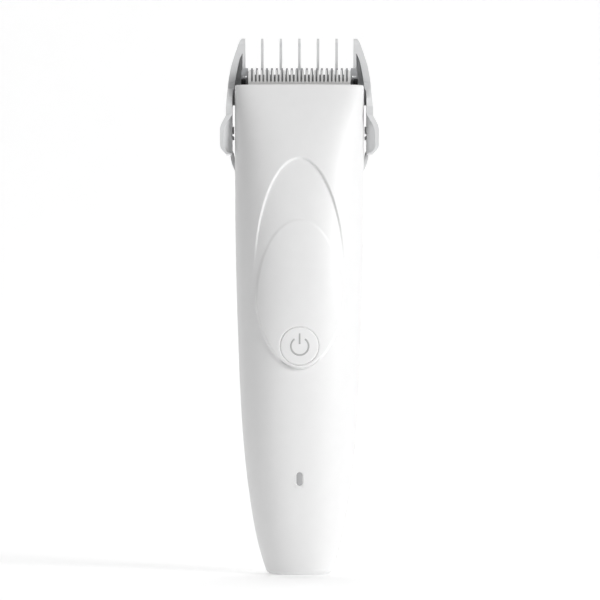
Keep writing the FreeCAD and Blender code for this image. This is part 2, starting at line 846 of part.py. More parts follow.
def make_fixed_blade():
    body = new_body("fixed_blade")
    plate = sketch(body, "XY_Plane")
    side = "dim.fixed_half_wide"
    outline(
        plate,
        [
            (f"-{side} + 1.5", "-dim.fixed_long"),
            (f"{side} - 1.5", "-dim.fixed_long"),
            (side, "-dim.fixed_long + 1.5"),
            (side, "-1.2"),
            (f"{side} - 0.7", "0"),
            (f"-{side} + 0.7", "0"),
            (f"-{side}", "-1.2"),
            (f"-{side}", "-dim.fixed_long + 1.5"),
        ],
    )
    pad(body, plate, "dim.fixed_thick")
    thin = sketch(body, "YZ_Plane")
    outline(thin, [(-8, 0), (1, -0.1), (1, "dim.fixed_thick - 0.35"), (0, "dim.fixed_thick - 0.35")])
    pocket(body, thin)
    tooth_gap(body, "dim.fixed_pitch", "dim.fixed_gap_wide", "dim.fixed_gap_deep", "dim.fixed_gaps", "0")
    corner = sketch(body, "XY_Plane")
    for sign in ("-", ""):
        outline(
            corner,
            [
                (f"{sign}17.7", "-3.2"),
                (f"{sign}19", "-3.2"),
                (f"{sign}19", "-2.6"),
                (f"{sign}17.7", "-2.6"),
            ],
        )
    pocket(body, corner)
    holes = sketch(body, "XY_Plane")
    for sign in ("-", ""):
        circle(holes, f"{sign}dim.blade_screw_offset", "-dim.blade_screw_drop", "1.3")
    pocket(body, holes)
    place_blade(body)


def make_moving_blade():
    body = new_body("moving_blade")
    low = "dim.fixed_thick + dim.blade_gap"
    plate = sketch(body, "XY_Plane", low)
    side = "dim.moving_half_wide"
    tip = "-dim.moving_tip_drop"
    outline(
        plate,
        [
            (f"-{side}", f"{tip} - dim.moving_long"),
            (side, f"{tip} - dim.moving_long"),
            (side, f"{tip} - 0.8"),
            (f"{side} - 0.4", tip),
            (f"-{side} + 0.4", tip),
            (f"-{side}", f"{tip} - 0.8"),
        ],
    )
    pad(body, plate, "dim.moving_thick")
    bevel = sketch(body, "YZ_Plane")
    top = f"{low} + dim.moving_thick"
    outline(bevel, [("-4.4", f"{top} + 0.1"), ("-4.4", top), ("0", f"{low} + 0.5"), ("1", f"{top} + 0.1")])
    pocket(body, bevel)
    tooth_gap(body, "dim.moving_pitch", "dim.moving_gap_wide", "dim.moving_gap_deep", "dim.moving_gaps", tip)
    place_blade(body)


def make_blade_driver():
    """Follower on the moving blade; the eccentric pin runs in its slot."""
    front = size("fixed_thick") + size("blade_gap") + size("moving_thick")
    plate = lean(Part.makeBox(14, 5.4, 1.75, Vector(-7, -11.9, front)))
    column = Part.makeBox(8.8, 7.6, 13.5, Vector(-4.4, -3.0, 146.5))
    behind = lean(Part.makeBox(FAR, FAR, FAR, Vector(-FAR / 2, -FAR / 2, front - FAR)))
    slot = Part.makeBox(2 * size("slot_half_wide"), 4.0, 8.0, Vector(-size("slot_half_wide"), -2.0, 145.5))
    shaped(solid(column.cut(behind).fuse(plate).cut(slot)), "blade_driver")


def make_blade_base():
    """Black carrier that closes the back of the head and holds the fixed blade."""
    half = size("fixed_half_wide") + 0.1
    seam = size("rear_cover_high")
    long = size("fixed_long") + 0.3
    thick = size("fixed_thick")
    shell = OUTER.cut(INNER).common(half_space(0, FAR, seam, FAR * 4))
    clear = lean(Part.makeBox(2 * half, long + 8, 20 + thick, Vector(-half, -long, -20)))
    seat_long = long - size("seat_start")
    seat = lean(Part.makeBox(2 * half + 3, seat_long, size("seat_thick"), Vector(-half - 1.5, -long, thick)))
    seat = seat.common(OUTER)
    inner = size("ear_inner")
    ears = [
        lean(Part.makeBox(half - inner, size("seat_start") - 3.7, 1.8, Vector(x, -size("seat_start"), thick)))
        for x in (inner, -half)
    ]
    deck = INNER.common(half_space(-FAR, 3.2, 156.4, 157.8))
    window = Part.makeBox(11.2, 2 * FAR, 10, Vector(-5.6, -FAR, 150))
    carrier = shell.cut(clear).fuse([seat, *ears, deck.cut(window)])
    holes = [
        lean(bore(side * size("blade_screw_offset"), -size("blade_screw_drop"), 0, 0.9, 3.6, AXIS_Z))
        for side in (-1, 1)
    ]
    run_start = Vector(-inner, -size("run_long"), thick)
    run = lean(Part.makeBox(2 * inner, size("seat_start"), size("run_deep"), run_start))
    shaped(solid(carrier.cut([run, *holes])), "blade_base")


def make_blade_screws():
    screws = []
    for side in (-1, 1):
        x = side * size("blade_screw_offset")
        y = -size("blade_screw_drop")
        head = bore(x, y, -1.1, 2.1, 1.1, AXIS_Z)
        shank = bore(x, y, -0.3, 0.9, 3.5, AXIS_Z)
        slots = [
            Part.makeBox(0.5, 2.4, 0.6, Vector(x - 0.25, y - 1.2, -1.2)),
            Part.makeBox(2.4, 0.5, 0.6, Vector(x - 1.2, y - 0.25, -1.2)),
        ]
        screws.append(lean(head.fuse(shank).cut(slots)))
    shaped(Part.makeCompound(screws), "blade_screws")


def make_blade_spring():
    """Flat steel spring on the carrier; its two prongs press the moving blade back."""
    body = new_body("blade_spring")
    profile = sketch(body, "YZ_Plane")
    low = "dim.fixed_thick + dim.seat_thick"
    outline(
        profile,
        [
            ("-19", low),
            ("-15", low),
            ("-12.5", f"{low} + 0.7"),
            ("-8", f"{low} + 0.7"),
            ("-8", f"{low} + 1"),
            ("-12.6", f"{low} + 1"),
            ("-15.1", f"{low} + 0.3"),
            ("-19", f"{low} + 0.3"),
        ],
    )
    pad(body, profile, "2 * dim.spring_half_wide", True)
    gap = sketch(body, "XY_Plane")
    outline(
        gap,
        [
            ("-dim.spring_inner", "-15.8"),
            ("dim.spring_inner", "-15.8"),
            ("dim.spring_inner", "1"),
            ("-dim.spring_inner", "1"),
        ],
    )
    pocket(body, gap)
    place_blade(body)


make_fixed_blade()
make_moving_blade()
make_blade_driver()
make_blade_base()
make_blade_screws()
make_blade_spring()


# ---- guide comb ------------------------------------------------------------------------

# Side views (back, up): a tine, an arm with its shield, the web between them, the band.
TINE_SIDE = [
    (7.2, 175.6), (9.5, 167.6), (12.2, 157.6), (14.6, 152.3), (16.5, 149.0), (17.6, 149.5), (17.9, 154.0),
    (17.2, 160.0), (15.4, 166.0), (12.7, 171.6), (9.9, 176.2), (8.2, 178.3), (7.4, 178.75), (6.7, 178.6),
    (6.3, 178.0), (6.4, 177.2),
]
ARM_SIDE = [
    (-4.6, 139.6), (7.5, 139.6), (8.0, 141.5), (8.1, 147.0), (8.1, 152.0), (8.6, 156.4), (17.6, 156.4),
    (17.2, 160.0), (15.4, 166.0), (12.7, 171.6), (9.9, 176.2), (8.2, 178.3), (7.4, 178.75), (6.7, 178.6),
    (6.3, 178.0), (6.4, 177.0), (7.6, 174.2), (9.5, 167.6), (10.2, 164.2), (9.0, 162.2), (5.0, 160.4),
    (0.0, 158.4), (-3.2, 155.6), (-4.6, 152.0),
]
WEB_SIDE = [
    (15.9, 156.6), (17.5, 156.6), (17.2, 160.0), (15.4, 166.0), (12.7, 171.6), (11.3, 173.9), (10.3, 173.2),
    (11.6, 171.0), (14.2, 165.5), (15.9, 159.8),
]
BAND_SIDE = [(7.8, 156.4), (22.0, 156.4), (22.0, 163.0), (10.4, 163.0), (7.8, 161.6)]
# Front views (out, up): an arm with its shield, the web, a grip pad, its dish, the tail behind it.
ARM_FRONT = [
    (18.1, 178.3), (18.5, 178.75), (19.3, 178.7), (20.1, 177.7), (20.6, 176.4), (21.05, 175.1), (21.6, 173.8),
    (22.0, 172.4), (22.45, 171.1), (22.85, 169.8), (23.15, 168.4), (23.4, 167.1), (23.65, 165.8),
    (23.85, 164.4), (24.0, 163.1), (24.15, 160.5), (24.3, 157.8), (24.5, 155.0), (24.5, 139.6),
    (22.35, 139.6), (22.35, 161.0), (21.9, 162.3), (21.6, 164.4), (21.2, 166.8), (20.7, 169.3),
    (20.1, 171.8), (19.1, 173.8), (18.1, 174.4),
]
WEB_FRONT = [
    (18.6, 156.6), (22.7, 156.6), (22.6, 163.0), (22.2, 166.8), (21.4, 170.5), (20.4, 174.4), (18.6, 174.4),
]
PAD_FRONT = [
    (22.4, 139.7), (24.4, 139.65), (25.0, 140.3), (25.8, 141.1), (26.3, 141.9), (26.45, 143.0),
    (26.45, 147.8), (26.2, 149.1), (25.7, 150.2), (25.2, 151.1), (24.5, 152.4), (22.4, 153.2),
]
DISH_FRONT = [
    (21.0, 153.6), (22.4, 152.6), (23.3, 151.1), (24.2, 149.8), (24.8, 148.2), (25.2, 146.2), (25.25, 143.4),
    (25.0, 141.6), (24.3, 140.5), (21.0, 138.9),
]
TAIL_FRONT = [
    (22.35, 141.0), (23.1, 139.2), (22.9, 138.0), (22.5, 136.5), (22.0, 135.2), (21.5, 134.2), (21.2, 134.2),
    (21.2, 137.0), (21.9, 140.0),
]
# Plan view (out, back) of what the dish takes from the front of a pad.
DISH_PLAN = [(25.3, -12.0), (25.3, -5.2), (21.5, 0.1), (21.5, -12.0)]
# Height and depth of the inside of the comb's back.
COMB_BACK = [(130.0, 17.3), (157.5, 15.75), (180.0, 15.75)]
# Low and high edge of the two ribs on the inside of each arm.
RIB_HEIGHTS = [(146.6, 148.9), (144.5, 145.7)]


def mirror(points, side):
    return [(side * across, other) for across, other in points]


def comb_form(extra, half_wide, fullness):
    """Upright form the comb is cut from: its back leans in towards the top."""
    wires = [
        section_wire(height, half_wide, half_wide, back + extra, fullness) for height, back in COMB_BACK
    ]
    return Part.makeLoft(wires, True, True)


def comb_band():
    """Band round the back of the head that joins the tines to the arms."""
    thick = size("comb_band_thick")
    half = size("comb_inner_half")
    ring = comb_form(thick, half + thick, 4.2).cut(comb_form(0, half, 4.0))
    return ring.common(prism(BAND_SIDE, AXIS_X, -FAR, 2 * FAR))


def side_arm(side, envelope):
    """Shield, arm, dished grip pad and tail on one side."""
    arm = prism(mirror(ARM_FRONT, side), AXIS_Y, -10, 40).common(prism(ARM_SIDE, AXIS_X, -FAR, 2 * FAR))
    pad_front = size("pad_front")
    grip = prism(mirror(PAD_FRONT, side), AXIS_Y, pad_front, size("pad_back") - pad_front)
    dish = prism(mirror(DISH_FRONT, side), AXIS_Y, -15, 30)
    dish = dish.common(prism(mirror(DISH_PLAN, side), AXIS_Z, 130, 30))
    web = prism(WEB_SIDE, AXIS_X, -FAR, 2 * FAR).common(prism(mirror(WEB_FRONT, side), AXIS_Y, 0, 30))
    whole = arm.common(envelope).fuse(grip).cut(dish)
    whole = whole.fuse(web)
    whole = whole.fuse(prism(mirror(TAIL_FRONT, side), AXIS_Y, size("tail_front"), size("tail_long")))
    inner = size("rib_inner")
    outer = size("comb_inner_half") + 0.2
    for low, high in RIB_HEIGHTS:
        corners = mirror([(inner, low), (outer, low), (outer, high), (inner, high)], side)
        whole = whole.fuse(prism(corners, AXIS_Y, size("rib_front"), size("rib_long")))
    return whole


def make_guide_comb():
    envelope = comb_form(2.4, 24.7, 4.2)
    solids = [comb_band()]
    pitch = size("tine_pitch")
    thick = size("tine_thick")
    for place_number in range(-2, 3):
        solids.append(prism(TINE_SIDE, AXIS_X, place_number * pitch - thick / 2, thick))
    inner = size("outer_tine_inner")
    outer_thick = size("outer_tine_thick")
    for side in (-1, 1):
        start = inner if side > 0 else -inner - outer_thick
        solids.append(prism(TINE_SIDE, AXIS_X, start, outer_thick))
        solids.append(side_arm(side, envelope))
    solids.append(prism([(15.9, 148.0), (17.75, 148.0), (17.9, 153.0), (16.2, 153.0)], AXIS_X, -20.0, 40.0))
    whole = solids[0]
    for piece in solids[1:]:
        whole = whole.fuse(piece)
    shaped(solid(whole.removeSplitter()), "guide_comb")


make_guide_comb()


# ---- wiring ----------------------------------------------------------------------------


def mirrored(points):
    return [(-x, y, z) for x, y, z in points]


def make_leads():
    """Insulated wires between the boards, the cell and the motor."""
    wire = 0.5
    from_top = [
        (-2, -9.95, 90.8), (-2, -9.8, 94), (-2, -7.5, 95.4), (-2, -5, 93), (-1.5, 0, 84), (-1, 4, 78),
        (-1, 4, 74), (-1, 4, 70.4),
    ]
    from_foot = [
        (7.6, -9.95, 27.2), (8.2, -9.95, 25.0), (8.9, -8.4, 23.4), (8.9, -5.5, 22.0), (7.6, -1.0, 20.0),
        (4.9, 3.0, 18.9), (2.9, 3.6, 18.9),
    ]
    shaped(Part.makeCompound([tube(from_top, wire), tube(from_foot, wire)]), "battery_leads")
    motor = [
        (5, -9.95, 90.9), (5.2, -9.9, 94), (5.6, -7.5, 95.6), (5.9, -4, 94), (6, -1.2, 93.6), (6, 0, 94.9),
    ]
    shaped(Part.makeCompound([tube(motor, wire), tube(mirrored(motor), wire)]), "motor_leads")
    charge = [
        (5.5, 1.0, 13.2), (6.4, -1, 14.5), (7.3, -5, 17), (7.2, -8.5, 20.5), (6, -10.2, 24), (5, -10, 26.6),
    ]
    shaped(Part.makeCompound([tube(charge, wire), tube(mirrored(charge), wire)]), "charging_leads")


make_leads()
doc.recompute()


# ---- check and write -------------------------------------------------------------------


def write_nodes():
    for item in doc.Objects:
        if "Invalid" in item.State or "Error" in item.State:
            raise RuntimeError(f"{item.Label} did not build: {item.State}")
    for made in nodes:
        shape = made.Shape
        if shape.isNull() or not shape.isValid():
            raise RuntimeError(f"{made.Label} has no valid shape")
        shape.exportStep(f"parts/{made.Label}.step")
        box = shape.BoundBox
        print(
            f"{made.Label:20s} {len(shape.Solids)} solids {shape.Volume:9.1f} "
            f"x {box.XMin:6.1f} {box.XMax:6.1f} y {box.YMin:6.1f} {box.YMax:6.1f} "
            f"z {box.ZMin:6.1f} {box.ZMax:6.1f}"
        )


write_nodes()
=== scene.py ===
import json
import math

import bmesh
import bpy
import numpy as np
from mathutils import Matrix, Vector


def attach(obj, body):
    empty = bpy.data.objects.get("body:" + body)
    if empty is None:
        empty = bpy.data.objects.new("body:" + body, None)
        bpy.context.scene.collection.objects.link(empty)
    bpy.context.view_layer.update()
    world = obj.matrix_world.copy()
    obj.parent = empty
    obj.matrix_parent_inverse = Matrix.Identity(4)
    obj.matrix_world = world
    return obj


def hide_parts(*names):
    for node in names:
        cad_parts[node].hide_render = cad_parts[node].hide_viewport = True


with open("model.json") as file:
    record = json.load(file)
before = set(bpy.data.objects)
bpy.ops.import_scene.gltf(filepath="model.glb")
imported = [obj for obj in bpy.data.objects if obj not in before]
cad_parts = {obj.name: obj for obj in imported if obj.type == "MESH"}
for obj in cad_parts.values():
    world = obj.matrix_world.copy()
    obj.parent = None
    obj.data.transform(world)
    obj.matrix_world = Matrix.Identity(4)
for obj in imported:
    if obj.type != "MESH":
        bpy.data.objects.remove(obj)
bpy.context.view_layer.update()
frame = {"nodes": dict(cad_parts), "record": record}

# Hair clipper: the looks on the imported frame. Lengths are millimetres unless named otherwise;
# the scene itself is in metres.

MM = 0.001

# ---- the body's form -------------------------------------------------------------------

# Height, half width, front depth, rear depth and fullness of each cross-section.
SECTIONS = np.array([
    (0.0, 10.7, 9.0, 8.8, 2.3),
    (6.0, 12.65, 10.9, 10.7, 2.3),
    (14.0, 14.65, 12.7, 12.4, 2.3),
    (24.0, 16.35, 14.2, 13.9, 2.3),
    (36.0, 17.9, 15.5, 15.3, 2.3),
    (52.0, 19.25, 16.8, 16.5, 2.3),
    (75.0, 20.3, 17.8, 17.5, 2.3),
    (100.0, 21.05, 18.0, 17.5, 2.3),
    (125.0, 21.4, 16.6, 16.6, 2.4),
    (138.0, 21.45, 14.2, 15.7, 2.6),
    (148.0, 21.45, 11.2, 14.8, 2.8),
    (156.0, 21.45, 8.0, 13.8, 3.0),
    (163.0, 21.45, 4.6, 13.0, 3.0),
])
BODY_TOP = 162.7
REAR_TOP = 136.9
FOOT_ROUND = 1.5
SKIN = 1.6

# The top lip: its corner, and how far the last rows turn in.
LIP_ROUND = 0.7
LIP_TURN = ((-3, 0.03), (-2, 0.12), (-1, 0.26))
LIP_DROPS = (0.28, 0.12, 0.03, 0.0)
HEAD_HALF = 21.0

# The seam: where each cover stops short of the split, and the small step in on its edge
# (distance inwards, share of the start).
SEAM_START = 0.3
SEAM_EDGE = ((0.0, 0.6), (0.03, 0.33), (0.12, 0.17), (0.28, 0.13))

# Rows of the skin: heights at the foot, then stretches of (start, end, step).
FOOT_HEIGHTS = (0.0, 0.08, 0.25, 0.5, 0.8, 1.15, 1.5)
ROW_STRETCHES = (
    (1.9, 27.5, 0.5),
    (27.5, 36.5, 0.2),
    (36.5, 66.0, 0.5),
    (66.0, 140.0, 0.28),
    (140.0, 163.0, 0.5),
)
FRONT_COLUMNS = 230
REAR_COLUMNS = 150
ARC_SAMPLES = 4001

# The egg-shaped panel, and the plateau inside it below and just above the waist.
PANEL_HEIGHT = 97.0
PANEL_HALF = 15.2
PANEL_UP = 41.3
PANEL_DOWN = 28.3
WAIST = 90.0
WAIST_HALF = PANEL_HALF * math.sqrt(1 - ((WAIST - PANEL_HEIGHT) / PANEL_DOWN) ** 2)
PLATEAU_TOP = 27.8

# The recess sinks in with height; the plateau stands out below and dies away upwards.
RECESS_DEEP = 0.75
RECESS_FADE = (96, 126)
RECESS_EDGE = (-0.05, 0.55)
PLATEAU_LOW = -0.42
PLATEAU_RISE = 1.5
PLATEAU_FADE = (82, 119)
PLATEAU_START = -0.1
PLATEAU_SLOPE = 0.75
SHARPER_BELOW = 0.25
SHARPER_FADE = (80, 92)

BUTTON = (0.0, 76.0)
BUTTON_HOLE = 6.65
BUTTON_R = 6.15
BUTTON_DEEP = 3.0
BUTTON_DISH = 0.12
WINDOW = (0.0, 32.1)
WINDOW_HALF = 1.05
WINDOW_REACH = 1.25
WINDOW_GAP = 0.18
WINDOW_SUNK = 0.16
WINDOW_DEEP = 2.4
WINDOW_DOME = 0.08

# The charging port in the foot: half length, half thickness, depth of its rim.
PORT = (4.6, 1.75)
PORT_RIM = 1.4
PORT_SAMPLES = 60
PORT_SEAM = 0.04
# Where the rows of the foot lie, as shares of the way from the port out to the edge.
FOOT_SHARES = (0.0, 0.04, 0.3, 0.6, 0.85)
REAR_SCREWS = (13.5, 84.0)
REAR_SCREW_R = 2.6


def smooth(value, low, high):
    """Eased share, 0 at low and 1 at high."""
    share = np.clip((np.asarray(value, float) - low) / (high - low), 0.0, 1.0)
    return share * share * (3 - 2 * share)


def spline_rows(z):
    """Smooth values of every section column at heights z (natural cubic through the rows)."""
    x = SECTIONS[:, 0]
    count = len(x)
    step = np.diff(x)
    system = np.zeros((count, count))
    system[0, 0] = system[-1, -1] = 1
    for i in range(1, count - 1):
        system[i, i - 1] = step[i - 1]
        system[i, i] = 2 * (step[i - 1] + step[i])
        system[i, i + 1] = step[i]
    i = np.clip(np.searchsorted(x, z) - 1, 0, count - 2)
    h = step[i]
    a = (x[i + 1] - z) / h
    b = (z - x[i]) / h
    out = []
    for column in range(1, 5):
        y = SECTIONS[:, column]
        right = np.zeros(count)
        right[1:-1] = 6 * np.diff(np.diff(y) / step)
        bend = np.linalg.solve(system, right)
        curve = ((a ** 3 - a) * bend[i] + (b ** 3 - b) * bend[i + 1]) * h * h / 6
        out.append(a * y[i] + b * y[i + 1] + curve)
    return np.array(out)


def ellipse_depth(x, z, half_x, half_z):
    """Distance inwards from an ellipse's edge, true close to the edge."""
    tiny = 1e-9
    q = np.sqrt((x / half_x) ** 2 + (z / half_z) ** 2) + tiny
    grow = np.sqrt((x / half_x ** 2) ** 2 + (z / half_z ** 2) ** 2) / q + tiny
    return (1 - q) / grow


def relief(x, z):
    """How far the front stands proud of the plain form: the recess and the plateau."""
    x = np.asarray(x, float)
    z = np.asarray(z, float)
    half_high = np.where(z > PANEL_HEIGHT, PANEL_UP, PANEL_DOWN)
    egg = ellipse_depth(x, z - PANEL_HEIGHT, PANEL_HALF, half_high)
    dome = ellipse_depth(x, z - WAIST, WAIST_HALF, PLATEAU_TOP)
    plateau = np.where(z > WAIST, dome, egg)
    recess = -RECESS_DEEP * smooth(z, *RECESS_FADE) * smooth(egg, *RECESS_EDGE)
    level = PLATEAU_LOW + PLATEAU_RISE * (1 - smooth(z, *PLATEAU_FADE))
    slope_end = PLATEAU_SLOPE - SHARPER_BELOW * (1 - smooth(z, *SHARPER_FADE))
    return recess + (level - recess) * smooth(plateau, PLATEAU_START, slope_end)


def front_y(x, z):
    """Depth of the sculpted front surface at (x, z), both as arrays."""
    half, deep, _, fullness = spline_rows(np.asarray(z, float))
    share = np.clip(1 - np.abs(np.asarray(x) / half) ** fullness, 0, 1) ** (1 / fullness)
    return -deep * share - relief(x, z)


def front_at(x, z):
    """Depth of the sculpted front surface at one point."""
    return float(front_y(np.array([x]), np.array([z]))[0])


def rear_at(x, z):
    """Depth of the plain rear surface at one point."""
    half, _, deep, fullness = spline_rows(np.array([z]))[:, 0]
    return float(deep * max(0, 1 - abs(x / half) ** fullness) ** (1 / fullness))


def run_length(x, y):
    """Distance along a row of points, from its first point to each point."""
    return np.concatenate([[0], np.cumsum(np.hypot(np.diff(x), np.diff(y)))])


def quarter_in(radius, short):
    """How far a quarter round stands in where it is this far short of its full width."""
    return radius - np.sqrt(np.clip(radius ** 2 - short ** 2, 0, None))


def half_rows(front, heights, columns):
    """Rows of points (x, y, z) round one half of the body, evenly spaced along the arc."""
    half_wide, front_deep, rear_deep, fullness = spline_rows(heights)
    depth = front_deep if front else rear_deep
    foot = quarter_in(FOOT_ROUND, np.clip(FOOT_ROUND - heights, 0, None))
    corner = quarter_in(LIP_ROUND, np.clip(heights - (BODY_TOP - LIP_ROUND), 0, LIP_ROUND))
    t = np.linspace(0, math.pi, ARC_SAMPLES)
    rows = []
    for i, z in enumerate(heights):
        half = half_wide[i] - foot[i] - corner[i]
        deep = depth[i] - foot[i]
        x = half * np.sign(np.cos(t)) * np.abs(np.cos(t)) ** (2 / fullness[i])
        y = deep * np.abs(np.sin(t)) ** (2 / fullness[i])
        keep = y >= SEAM_START
        x, y = x[keep], y[keep]
        run = run_length(x, y)
        want = np.linspace(0, run[-1], columns)
        arc = list(zip(np.interp(want, run, x), np.interp(want, run, y)))
        edge = [(x[0] - inwards, SEAM_START * share) for inwards, share in SEAM_EDGE]
        points = edge[::-1] + arc + [(-px, py) for px, py in edge]
        rows.append([(px, -py if front else py, z) for px, py in points])
    return np.array(rows)


def push_relief(rows):
    """Move the front rows outwards by the sculpted relief, away from the seam."""
    x, y, z = rows[..., 0], rows[..., 1], rows[..., 2]
    rows[..., 1] -= relief(x, z) * (y < -1)
    return rows


def link(name, data):
    """A new object in the scene."""
    obj = bpy.data.objects.new(name, data)
    bpy.context.scene.collection.objects.link(obj)
    return obj


def grid_mesh(name, rows):
    """A mesh from a grid of points in millimetres."""
    count_r, count_c, _ = rows.shape
    faces = []
    for i in range(count_r - 1):
        for j in range(count_c - 1):
            k = i * count_c + j
            faces.append((k, k + 1, k + count_c + 1, k + count_c))
    mesh = bpy.data.meshes.new(name)
    mesh.from_pydata((rows.reshape(-1, 3) * MM).tolist(), [], faces)
    return mesh


def closed_mesh(name, verts, faces):
    """An object from points in millimetres, with smooth faces that all look outwards."""
    mesh = bpy.data.meshes.new(name)
    mesh.from_pydata([tuple(c * MM for c in v) for v in verts], [], faces)
    bm = bmesh.new()
    bm.from_mesh(mesh)
    bmesh.ops.recalc_face_normals(bm, faces=bm.faces)
    for f in bm.faces:
        f.smooth = True
    bm.to_mesh(mesh)
    bm.free()
    return link(name, mesh)


def rings_of_faces(layers, spokes):
    """Faces of a closed cap: a fan round point 0, bands between layers, one flat back."""
    faces = [(0, 1 + k, 1 + (k + 1) % spokes) for k in range(spokes)]
    for i in range(layers - 1):
        for k in range(spokes):
            a = 1 + i * spokes + k
            b = 1 + i * spokes + (k + 1) % spokes
            faces.append((a, a + spokes, b + spokes, b))
    last = 1 + (layers - 1) * spokes
    faces.append(tuple(last + k for k in range(spokes)))
    return faces


def foot_rows(first):
    """Rows that close the foot, from the port's rim out to the first outer row."""
    half_long, half_thick = PORT
    reach = half_long - half_thick
    front = -1 if first[len(first) // 2, 1] < 0 else 1
    towards = np.sign(first[-1, 0])
    bend = np.linspace(0, math.pi / 2, PORT_SAMPLES)
    rim_x = np.concatenate([-reach - half_thick * np.cos(bend), reach + half_thick * np.sin(bend)]) * towards
    rim_y = np.concatenate([half_thick * np.sin(bend), half_thick * np.cos(bend)]) * front
    along = run_length(first[:, 0], first[:, 1])
    rim_along = run_length(rim_x, rim_y)
    want = along / along[-1] * rim_along[-1]
    px = np.interp(want, rim_along, rim_x)
    py = np.interp(want, rim_along, rim_y)
    py[0] = py[-1] = PORT_SEAM * front
    rim = np.stack([px, py, np.zeros(len(px))], axis=1)
    inner = rim.copy()
    inner[:, 2] = PORT_RIM
    rows = [inner]
    for share in FOOT_SHARES:
        row = rim * (1 - share) + first * share
        row[:, 2] = 0.0
        rows.append(row)
    return np.array(rows)


# ---- holes in the skin -----------------------------------------------------------------

HOLE_SNAP = 0.24
RIM_NEAR = 0.5
OFF_SEAM = 4
# The rounded lip of a hole, as shares of its size: further in, further down.
HOLE_LIP = 0.22
HOLE_PROFILE = ((0.30, 0.08), (0.62, 0.30), (0.30, 0.55))
FRONT_WALL = 1.6
REAR_WALL = 3.2


def disc(centre, radius):
    """Distance outside a disc."""
    return lambda x, z: math.hypot(x - centre[0], z - centre[1]) - radius


def slot_shape(centre, half, reach):
    """Distance outside an upright slot with round ends."""
    def distance(x, z):
        along = max(abs(z - centre[1]) - reach, 0)
        return math.hypot(x - centre[0], along) - half
    return distance


def uphill(distance, x, z):
    """Unit direction in which a distance function grows."""
    step = 0.02
    gx = (distance(x + step, z) - distance(x - step, z)) / (2 * step)
    gz = (distance(x, z + step) - distance(x, z - step)) / (2 * step)
    size = math.hypot(gx, gz) or 1
    return gx / size, gz / size


def snap_to_hole(bm, distance, surface, sign):
    """Bring the vertices nearest to a hole's outline on to it."""
    for v in bm.verts:
        x, y, z = v.co / MM
        if y * sign <= OFF_SEAM:
            continue
        d = distance(x, z)
        if abs(d) < HOLE_SNAP:
            ux, uz = uphill(distance, x, z)
            x -= d * ux
            z -= d * uz
            v.co = Vector((x, surface(x, z), z)) * MM


def drop_inside(bm, distance, sign):
    """Delete the faces inside a hole."""
    gone = []
    for f in bm.faces:
        c = f.calc_center_median() / MM
        if c.y * sign > OFF_SEAM and distance(c.x, c.z) < 0:
            gone.append(f)
    bmesh.ops.delete(bm, geom=gone, context="FACES")
    loose = [v for v in bm.verts if not v.link_faces]
    bmesh.ops.delete(bm, geom=loose, context="VERTS")


def on_rim(vertex, distance, sign):
    x, y, z = vertex.co / MM
    return y * sign > OFF_SEAM and abs(distance(x, z)) < RIM_NEAR


def turn_in(bm, distance, sign, deep):
    """Turn a small rounded lip and a wall inwards round a hole."""
    rim = [e for e in bm.edges if e.is_boundary and all(on_rim(v, distance, sign) for v in e.verts)]
    profile = [(inward * HOLE_LIP, down * HOLE_LIP) for inward, down in HOLE_PROFILE]
    for inward, down in profile + [(0.0, deep)]:
        made = bmesh.ops.extrude_edge_only(bm, edges=rim)
        verts = [g for g in made["geom"] if isinstance(g, bmesh.types.BMVert)]
        rim = [g for g in made["geom"] if isinstance(g, bmesh.types.BMEdge)]
        for v in verts:
            ux, uz = uphill(distance, v.co.x / MM, v.co.z / MM)
            v.co.x -= inward * ux * MM
            v.co.z -= inward * uz * MM
            v.co.y -= sign * down * MM


def cut_holes(obj, distances, surface, sign, deep):
    """Open each hole in the skin, with a lip and a wall."""
    bm = bmesh.new()
    bm.from_mesh(obj.data)
    for distance in distances:
        snap_to_hole(bm, distance, surface, sign)
        drop_inside(bm, distance, sign)
        turn_in(bm, distance, sign, deep)
    bm.to_mesh(obj.data)
    bm.free()


def finish_skin(obj):
    """Smooth faces that look outwards, and the cover's wall thickness."""
    for poly in obj.data.polygons:
        poly.use_smooth = True
    bm = bmesh.new()
    bm.from_mesh(obj.data)
    bmesh.ops.recalc_face_normals(bm, faces=bm.faces)
    centre = Vector((0, 0, 80)) * MM
    outermost = max(bm.faces, key=lambda f: abs(f.calc_center_median().y))
    if outermost.normal.dot(outermost.calc_center_median() - centre) < 0:
        bmesh.ops.reverse_faces(bm, faces=bm.faces)
    bm.to_mesh(obj.data)
    bm.free()
    thick = obj.modifiers.new("thickness", "SOLIDIFY")
    thick.thickness = SKIN * MM
    thick.offset = -1
    thick.use_even_offset = False


# ---- materials -------------------------------------------------------------------------

DETAIL_FINE = 4
DETAIL_BROAD = 3
BROAD_SHARE = 12
COAT_ROUGH = 0.12
BUMP_METRES = 0.0001


def add_noise(tree, vector, scale, detail):
    """A noise texture on the given coordinates."""
    noise = tree.nodes.new("ShaderNodeTexNoise")
    noise.inputs["Scale"].default_value = scale
    noise.inputs["Detail"].default_value = detail
    tree.links.new(vector, noise.inputs["Vector"])
    return noise


